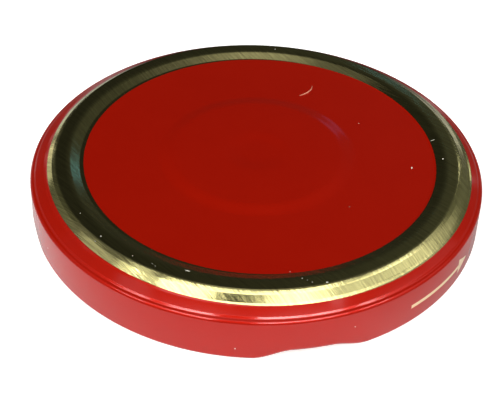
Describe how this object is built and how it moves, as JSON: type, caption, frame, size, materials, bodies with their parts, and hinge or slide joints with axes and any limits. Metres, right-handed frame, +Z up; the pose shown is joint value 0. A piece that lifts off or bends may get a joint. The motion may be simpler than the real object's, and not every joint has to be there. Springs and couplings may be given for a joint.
{
  "type": "jar_lid",
  "caption": "Twist-off metal jar lid, red lacquered with a bare gold ring, a safety button, inward lugs and a soft sealing ring inside",
  "frame": {"origin": "centre of the plane that the hem stands on", "axes": "+Z up, out of the panel's outer face; X and Y lie in the plane of the hem, with -Y towards the picture's camera"},
  "size_m": [0.073, 0.073, 0.0095],
  "materials": {
    "lacquered_tinplate": "gloss",
    "sealing_compound": "satin"
  },
  "bodies": {
    "root": {"lid_shell": "lacquered_tinplate", "sealing_ring": "sealing_compound"}
  },
  "joints": []
}
